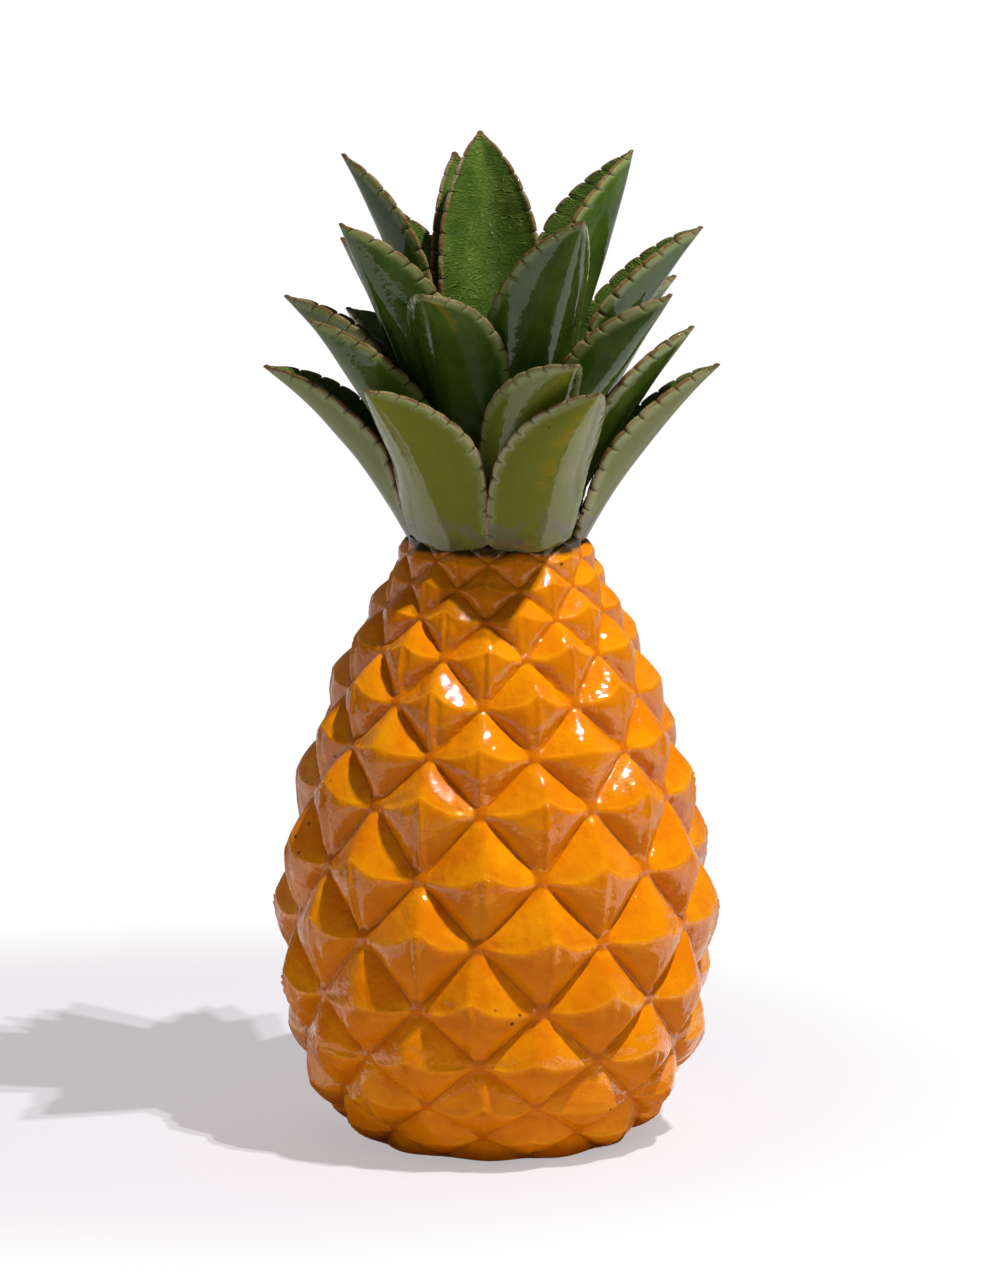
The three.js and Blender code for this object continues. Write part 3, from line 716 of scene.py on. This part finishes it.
def keel_frame(base_radius, base_height, leaf, along):
    """Place and directions of the blade where the keel has bent this far towards its tip."""
    start, end = (math.radians(angle) for angle in leaf["lean"])
    bend = end - start
    lean = start + bend * along
    if abs(bend) < 1e-4:
        radius, height = math.sin(start) * along, math.cos(start) * along
    else:
        radius = (math.cos(start) - math.cos(lean)) / bend
        height = (math.sin(lean) - math.sin(start)) / bend
    azimuth = math.radians(leaf["azimuth"])
    outward = Vector((math.sin(azimuth), -math.cos(azimuth), 0))
    sideways = Vector((math.cos(azimuth), math.sin(azimuth), 0))
    inward = Vector((0, 0, math.sin(lean))) - outward * math.cos(lean)
    origin = outward * (base_radius + radius * (leaf["length"] - KEEL_TRIM))
    origin += Vector((0, 0, base_height + height * leaf["length"]))
    origin += sideways * leaf.get("sweep", 0) * along * along
    turn = Matrix.Rotation(math.radians(leaf.get("roll", 0)), 3, sideways.cross(inward))
    return origin, turn @ sideways, turn @ inward


BEDDED_BELOW_SEAT = 33.5
BEDDED_AT_FLARE = 35.2
BED_NARROWING = 4
BED_RISE = 82
CLEAR_OF_MOUTH = 362.5


def collar_clearance(height):
    """Radius just inside the collar's outer face, where a leaf's base is bedded in slip."""
    if height < SEAT_HEIGHT:
        return BEDDED_BELOW_SEAT
    if height >= CLEAR_OF_MOUTH:
        return 0
    return BEDDED_AT_FLARE - BED_NARROWING * min(max((height - FLARE_TOP) / BED_RISE, 0), 1)


def leaf_section(leaf, along, across, face, turn, notch):
    """Place on the blade's section, sideways and inward, its distance from the rim and its notch's depth.

    notch runs from 0 to 1 between two notches of the rim.
    """
    half_width = leaf_half_width(leaf, along)
    # The fold opens from half of its cup angle at the base to all of it.
    opening = 0.5 + 0.5 * smooth(along, 0, 0.45)
    rise = math.tan(math.radians(leaf["cup"] * opening))
    # The blade thins towards its tip and its rim, and both of its ends are rounded.
    thickness = LEAF_THICKNESS * (0.45 + 0.55 * math.sqrt(1 - along ** 4))
    for distance in (along * leaf["length"] / 1.7, (1 - along) * leaf["length"] / 1.3):
        short = max(1 - distance, 0)
        thickness *= math.sqrt(max(1 - short ** 2, 0))
    thickness *= 1 - 0.42 * smooth(abs(across), 0.72, 1)
    tuck = thickness / 2 / max(half_width, 0.5) * 0.9
    position = abs(across) * max(1 - tuck, 0.2)
    in_notch = max(1 - min(notch, 1 - notch) / NOTCH_HALF_WIDTH, 0)
    scallop = SCALLOP * (1 - abs(2 * notch - 1) ** 3) - RIM_BITE * in_notch
    rim_share = smooth(abs(across), 0.7, 1)
    position += scallop * rim_share / max(half_width, 4) * smooth(half_width, 2.5, 7)
    slope = math.atan(rise * SECTION_POWER * position ** (SECTION_POWER - 1))
    tangent = (math.cos(slope), math.sin(slope))
    normal = (-math.sin(slope), math.cos(slope))
    side, lift = half_width * position, half_width * rise * position ** SECTION_POWER
    from_rim = half_width * (1 - abs(across)) / math.cos(slope)
    cut = in_notch * (1 - smooth(from_rim, NOTCH_REACH * 0.6, NOTCH_REACH))
    if face == "rim":
        bead = thickness / 2
        side += bead * (math.cos(turn) * tangent[0] + (1 + math.sin(turn)) * normal[0])
        lift += bead * (math.cos(turn) * tangent[1] + (1 + math.sin(turn)) * normal[1])
        shift = RIM_NOTCH_DEPTH * cut * max(-math.sin(turn), 0)
    elif face == "outer":
        bead = RIM_BEAD * hill((from_rim, 1.5, 1.1)) * smooth(half_width, 4, 10)
        shift = NOTCH_DEPTH * cut - bead
    else:
        shift = thickness
    side += shift * normal[0]
    lift += shift * normal[1]
    return math.copysign(side, across), lift, from_rim, cut


def leaf_rows(leaf):
    """Where the sheet's rows lie from base to tip, with each row's place between two notches."""
    length = leaf["length"]
    samples = 240
    midway = 0.5
    rim = [0.0]
    for step in range(samples):
        low, high = step / samples, (step + 1) / samples
        narrowing = leaf_half_width(leaf, high) - leaf_half_width(leaf, low)
        rim.append(rim[-1] + math.hypot(narrowing, length / samples))
    rows = [(from_base / length, midway) for from_base in (0, 0.25, 0.8, 1.8)]
    notches, place = [], rim[-1] - 6.5
    while place > 10:
        notches.append(place)
        place -= NOTCH_PITCH * random.uniform(*NOTCH_SPREAD)
    notches = [place] + notches[::-1] + [rim[-1] + 2]
    for low, high in zip(notches, notches[1:]):
        for share in NOTCH_SIDES:
            distance = low + (high - low) * share
            if 4 < distance < rim[-1] - 3:
                step = next(index for index, reached in enumerate(rim) if reached >= distance)
                part_step = (rim[step] - distance) / (rim[step] - rim[step - 1])
                rows.append(((step - part_step) / samples, share))
    rows += [(1 - from_tip / length, midway) for from_tip in (2, 1.2, 0.6, 0.2, 0)]
    return sorted(rows)


LEAF_ACROSS = (0, 0.07, 0.16, 0.28, 0.42, 0.56, 0.68, 0.78, 0.86, 0.92, 0.96, 1)
RIM_TURNS = [math.radians(angle) for angle in (-60, -30, 0, 30, 60)]
LEAF_FINISH = ("from_rim", "inner", "notch", "along", "tone", "amber_reflection")
section = [("outer", -a, 0) for a in reversed(LEAF_ACROSS)] + [("outer", a, 0) for a in LEAF_ACROSS[1:]]
section += [("rim", 1, turn) for turn in RIM_TURNS]
section += [("inner", a, 0) for a in reversed(LEAF_ACROSS)] + [("inner", -a, 0) for a in LEAF_ACROSS[1:]]
section += [("rim", -1, turn) for turn in reversed(RIM_TURNS)]
section.append(section[0])


def make_leaf(name, base_radius, base_height, leaf, amber_reflection):
    """One leaf: its sheet is wrapped round the section, outer face, rim and inner face, base to tip."""
    rows = leaf_rows(leaf)
    sheet = add_sheet("leaf_" + name, len(section) - 1, len(rows) - 1, LEAF_FINISH)
    tone = random.random()
    placed, unrolled = [], []
    for vertex in sheet.data.vertices:
        face, across, turn = section[round(vertex.co.x * (len(section) - 1))]
        row, notch = rows[round(vertex.co.y * (len(rows) - 1))]
        along = row - CHEVRON * (1 - abs(across)) ** 1.3 * math.sin(math.pi * row)
        along = min(max(along, 0), 1)
        side, lift, from_rim, cut = leaf_section(leaf, along, across, face, turn, notch)
        origin, sideways, inward = keel_frame(base_radius, base_height, leaf, along)
        warp = drift(Vector((side, along * leaf["length"], base_height + leaf["azimuth"])) * WARP_PITCH)
        point = origin + sideways * side + inward * (lift + warp.x * LEAF_WARP * smooth(along, 0.1, 0.5))
        radius = math.hypot(point.x, point.y)
        least = collar_clearance(point.z)
        if radius < least:
            point.x *= least / radius
            point.y *= least / radius
        inner = 1 if face == "inner" else (math.sin(turn) + 1) / 2 if face == "rim" else 0
        placed.append((point * MM, (max(from_rim, 0), inner, cut, along, tone, amber_reflection)))
        unrolled.append((side * MM, along * leaf["length"] * MM))
    place_vertices(sheet, placed)
    layer = sheet.data.uv_layers[0]
    layer.name = "unrolled"
    for loop in sheet.data.loops:
        layer.data[loop.index].uv = unrolled[loop.vertex_index]
    close_piece(sheet)
    return sheet


# The leaf glaze, layer by layer: the outer green with a painted reflection of the amber body on the lower
# leaves and its pale band by the rim, partly thinner glaze and partly painted sheen; the crazed inner green,
# darkened towards its base as painted shade; a milky painted reflection and brown at the base, the brown rim
# and tip, the notches darkened as painted shade, and each leaf's own tone.
GREEN_IOR = 1.52
CRAZE_CELLS = (240, 600, 1)
CRAZE_BEND = 2.6
green, tree, shader = new_material("leaf_glaze")
shader.inputs["IOR"].default_value = GREEN_IOR
layer = glaze_layer(tree, 0.6, 0.03)
inner = reading(tree, "inner")
from_rim = reading(tree, "from_rim")
along = reading(tree, "along")
notch = reading(tree, "notch")
ragged = calculate(tree, "MULTIPLY", calculate(tree, "SUBTRACT", layer["Cloud"], 0.5), 1.1)
band = calculate(tree, "ADD", from_rim, ragged)
outer_green = blend_colour(tree, layer["Cloud"], (0.034, 0.070, 0.008), (0.060, 0.108, 0.014))
# Painted reflection: this olive-yellow share stands in for the amber body mirrored in the lower leaves.
amber_reflection_share = ramp(tree, reading(tree, "amber_reflection"), 0, 1, 0, 0.8)
outer_green = blend_colour(tree, amber_reflection_share, outer_green, (0.19, 0.20, 0.018))
# Partly painted sheen: the pale band by the rim is in part thinner glaze and in part a painted reflection.
outer_green = blend_colour(tree, ramp(tree, band, 4.4, 1.5, 0, 0.85), outer_green, (0.23, 0.27, 0.095))
unrolled = node(tree, "UVMap", uv_map="unrolled").outputs["UV"]
stretch = node(tree, "Mapping", {"Vector": unrolled, "Scale": CRAZE_CELLS}).outputs["Vector"]
bent = node(tree, "TexNoise", {"Vector": unrolled, "Scale": 110, "Detail": 1}).outputs["Color"]
bent = node(tree, "VectorMath", {0: bent, "Scale": CRAZE_BEND}, operation="SCALE").outputs[0]
bent = node(tree, "VectorMath", {0: stretch, 1: bent}, operation="ADD").outputs[0]
cells = node(tree, "TexVoronoi", {"Vector": bent, "Scale": 1}, feature="DISTANCE_TO_EDGE").outputs["Distance"]
crazing = calculate(tree, "MULTIPLY", ramp(tree, cells, 0.11, 0.02), inner)
inner_green = blend_colour(tree, layer["Cloud"], (0.050, 0.098, 0.012), (0.105, 0.165, 0.026))
# Painted shade: the inner face darkens towards its base, deep inside the crown.
inner_green = blend_colour(tree, ramp(tree, along, 0.4, 0.0, 0, 0.65), inner_green, (0.030, 0.062, 0.008))
inner_green = blend_colour(tree, calculate(tree, "MULTIPLY", crazing, 0.16), inner_green, (0.21, 0.30, 0.07))
colour = blend_colour(tree, inner, outer_green, inner_green)
# Painted reflection: milky grey patches on the outer face near the base.
reflection_patches = node(tree, "TexNoise", {"Vector": unrolled, "Scale": 75, "Detail": 2}).outputs["Fac"]
milky_reflection = calculate(tree, "MULTIPLY", ramp(tree, reflection_patches, 0.47, 0.56), ramp(tree, along, 0.3, 0.08, 0, 0.7))
milky_reflection = calculate(tree, "MULTIPLY", milky_reflection, calculate(tree, "SUBTRACT", 1.0, inner))
colour = blend_colour(tree, milky_reflection, colour, (0.15, 0.135, 0.10))
from_base = calculate(tree, "ADD", along, calculate(tree, "MULTIPLY", layer["Cloud"], 0.09))
colour = blend_colour(tree, ramp(tree, from_base, 0.16, 0.03, 0, 0.75), colour, (0.085, 0.070, 0.022))
colour = blend_colour(tree, ramp(tree, band, 0.95, 0.2, 0, 0.85), colour, (0.24, 0.185, 0.085))
worn = calculate(tree, "MULTIPLY", ramp(tree, from_rim, 0.5, 0.0), ramp(tree, layer["Cloud"], 0.35, 0.75))
colour = blend_colour(tree, worn, colour, (0.16, 0.085, 0.03))
colour = blend_colour(tree, ramp(tree, along, 0.95, 0.995, 0, 0.8), colour, (0.13, 0.075, 0.03))
# Painted shade: the notches' cuts are darkened nearly to black.
colour = blend_colour(tree, ramp(tree, notch, 0.25, 0.9), colour, (0.018, 0.018, 0.006))
toned = ramp(tree, reading(tree, "tone"), 0, 1, 0, 0.22)
colour = blend_colour(tree, toned, colour, (0.75, 0.8, 0.6), "MULTIPLY")
colour = blend_colour(tree, layer["Speck"], colour, (0.02, 0.016, 0.004))
height = calculate(tree, "ADD", layer["Height"], calculate(tree, "MULTIPLY", crazing, 0.8))
finish_surface(tree, shader, colour, layer["Roughness"], height, GLAZE_DEPTH)

# How much painted reflection of the amber body each tier's leaves get; tier 2's front leaf gets its own.
AMBER_REFLECTION_TIERS = {"tier1": 0.75, "tier2": 0.25}
AMBER_REFLECTION_FRONT_LEAF = 0.7
for tier, (base_radius, base_height, leaves) in TIERS.items():
    for side, leaf in leaves.items():
        amber_reflection = AMBER_REFLECTION_FRONT_LEAF if (tier, side) == ("tier2", "front") else AMBER_REFLECTION_TIERS.get(tier, 0)
        blade = make_leaf(tier + "_" + side, base_radius, base_height, leaf, amber_reflection)
        blade.data.materials.append(green)
        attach(blade, "root")
        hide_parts(tier + "_leaf_" + side)

# Stage: a plain pale floor that runs back without an edge, keeps the vase's shadow and fades to white
# away from it. To the camera it glows, which lightens its shadow, and near the vase the glow is tinted
# pinkish as painted light bounced from the amber glaze. The light it bounces is paler and warmer than
# its own tone, and a disc of it hidden under the foot glows to light the foot's underside. It lies a
# hair lower than the foot and can be seen through from below. In the glaze's mirror images it is dim
# in front of the vase, and paler beside and behind it.
FLOOR_SIZE = 24
FLOOR_LEVEL = -0.1 * MM
FRONT_SPOT = (0, -0.25, 0)
SHADOW_SPOT = (-0.13, 0.10, 0)
FADE = (0.2, 0.37)
bpy.ops.mesh.primitive_plane_add(size=FLOOR_SIZE, location=(0, 0, FLOOR_LEVEL))
floor = bpy.context.object
floor.name = "floor"
paper = bpy.data.materials.new("pale_floor")
paper.use_nodes = True
tree = paper.node_tree
tree.nodes.clear()
place = node(tree, "TexCoord").outputs["Object"]
path = node(tree, "LightPath").outputs
# The light the floor bounces is paler and warmer than the tone it shows.
floor_tone = blend_colour(tree, path["Is Diffuse Ray"], (0.77, 0.75, 0.79), (0.90, 0.84, 0.82))
from_front = distance_from(tree, place, FRONT_SPOT)
mirrored_tone = blend_colour(tree, ramp(tree, from_front, 0.28, 0.31), (0.12, 0.11, 0.105), (0.9, 0.9, 0.9))
floor_tone = blend_colour(tree, path["Is Glossy Ray"], floor_tone, mirrored_tone)
matt = node(tree, "BsdfDiffuse", {"Color": floor_tone}).outputs[0]
from_shadow = distance_from(tree, place, SHADOW_SPOT)
# Painted light: the camera's glow lightens the floor's shadow, and is tinted pinkish near the vase for light
# bounced from the amber glaze.
white = glow_of(tree, blend_colour(tree, ramp(tree, from_shadow, *FADE), (0.92, 0.875, 0.90), (1, 1, 1)))
faded = calculate(tree, "MULTIPLY", ramp(tree, from_shadow, *FADE, 0.48, 1), path["Is Camera Ray"])
shown = mix_shaders(tree, faded, matt, white)
backwards = node(tree, "SeparateXYZ", {0: place}).outputs[1]
dark = node(tree, "BsdfDiffuse", {"Color": (0.08, 0.08, 0.085, 1)}).outputs[0]
in_front = calculate(tree, "MULTIPLY", ramp(tree, backwards, -0.58, -0.62), path["Is Glossy Ray"])
shown = mix_shaders(tree, in_front, shown, dark)
behind = calculate(tree, "MULTIPLY", ramp(tree, backwards, 0.28, 0.36), path["Is Glossy Ray"])
shown = mix_shaders(tree, behind, shown, glow_of(tree, (0.6, 0.6, 0.61, 1)))
# Painted light: the floor under the foot glows, lighting the foot's underside.
from_axis = node(tree, "VectorMath", {0: place}, operation="LENGTH").outputs["Value"]
under_foot = ramp(tree, from_axis, 0.0519, 0.0513)
shown = mix_shaders(tree, under_foot, shown, glow_of(tree, (0.5, 0.5, 0.5, 1)))
clear = node(tree, "BsdfTransparent").outputs[0]
from_below = node(tree, "NewGeometry").outputs["Backfacing"]
shown = mix_shaders(tree, from_below, shown, clear)
tree.links.new(shown, node(tree, "OutputMaterial").inputs["Surface"])
floor.data.materials.append(paper)

# Light: one lamp of two bulbs from the right front, and a weak fill that rises towards the back. The
# backdrop is white to the camera, and the glaze mirrors a dim room that is a little lighter behind.
world = bpy.data.worlds.new("studio")
bpy.context.scene.world = world
world.use_nodes = True
tree = world.node_tree
tree.nodes.clear()
facing = node(tree, "SeparateXYZ", {0: node(tree, "TexCoord").outputs["Generated"]}).outputs[1]
path = node(tree, "LightPath").outputs
backdrop = ramp(tree, facing, 0.0, 0.6, 0.04, 0.13)
fill = ramp(tree, facing, -0.3, 0.6, 0.10, 0.42)
seen = calculate(tree, "MAXIMUM", path["Is Camera Ray"], path["Is Transmission Ray"])
level = node(tree, "Mix", {0: path["Is Glossy Ray"], 2: fill, 3: backdrop}).outputs[0]
level = node(tree, "Mix", {0: seen, 2: level, 3: 1.0}).outputs[0]
background = node(tree, "Background", {"Color": (1, 1, 1, 1), "Strength": level}).outputs[0]
tree.links.new(background, node(tree, "OutputWorld").inputs["Surface"])

KEY_PLACE = Vector((0.648, -0.584, 1.944))
KEY_TARGET = Vector((0, 0, 0.2))
BULB_SPACING = 0.07
BULB_SIZE = 0.026
BULB_WATTS = 24
toward_vase = (KEY_TARGET - KEY_PLACE).normalized()
along_lamp = toward_vase.cross(Vector((0, 0, 1))).normalized()
for name, place in (("left_bulb", -0.5), ("right_bulb", 0.5)):
    bpy.ops.object.light_add(type="AREA")
    bulb = bpy.context.object
    bulb.name = name
    bulb.data.shape = "DISK"
    bulb.data.size = BULB_SIZE
    bulb.data.energy = BULB_WATTS
    bulb.location = KEY_PLACE + along_lamp * BULB_SPACING * place
    bulb.rotation_euler = toward_vase.to_track_quat("-Z", "Y").to_euler()

# Camera: a long lens some metres in front of the vase, which looks down on it a little as the photo does.
PHOTO_HEIGHT = 1278
CAMERA_DISTANCE = 3.6
CAMERA_PITCH = math.radians(10.06)
AIM_HEIGHT = 0.2236
FOCAL_PIXELS = 8255
SENSOR_WIDTH = 36
SIDE_SHIFT = 0.0014
bpy.ops.object.camera_add()
camera = bpy.context.object
camera_height = AIM_HEIGHT + CAMERA_DISTANCE * math.tan(CAMERA_PITCH)
camera.location = (SIDE_SHIFT, -CAMERA_DISTANCE, camera_height)
camera.rotation_euler = (math.pi / 2 - CAMERA_PITCH, 0, 0)
camera.data.sensor_width = SENSOR_WIDTH
camera.data.lens = FOCAL_PIXELS / PHOTO_HEIGHT * SENSOR_WIDTH
camera.data.clip_end = 60
bpy.context.scene.camera = camera
bpy.context.scene.view_settings.view_transform = "Standard"
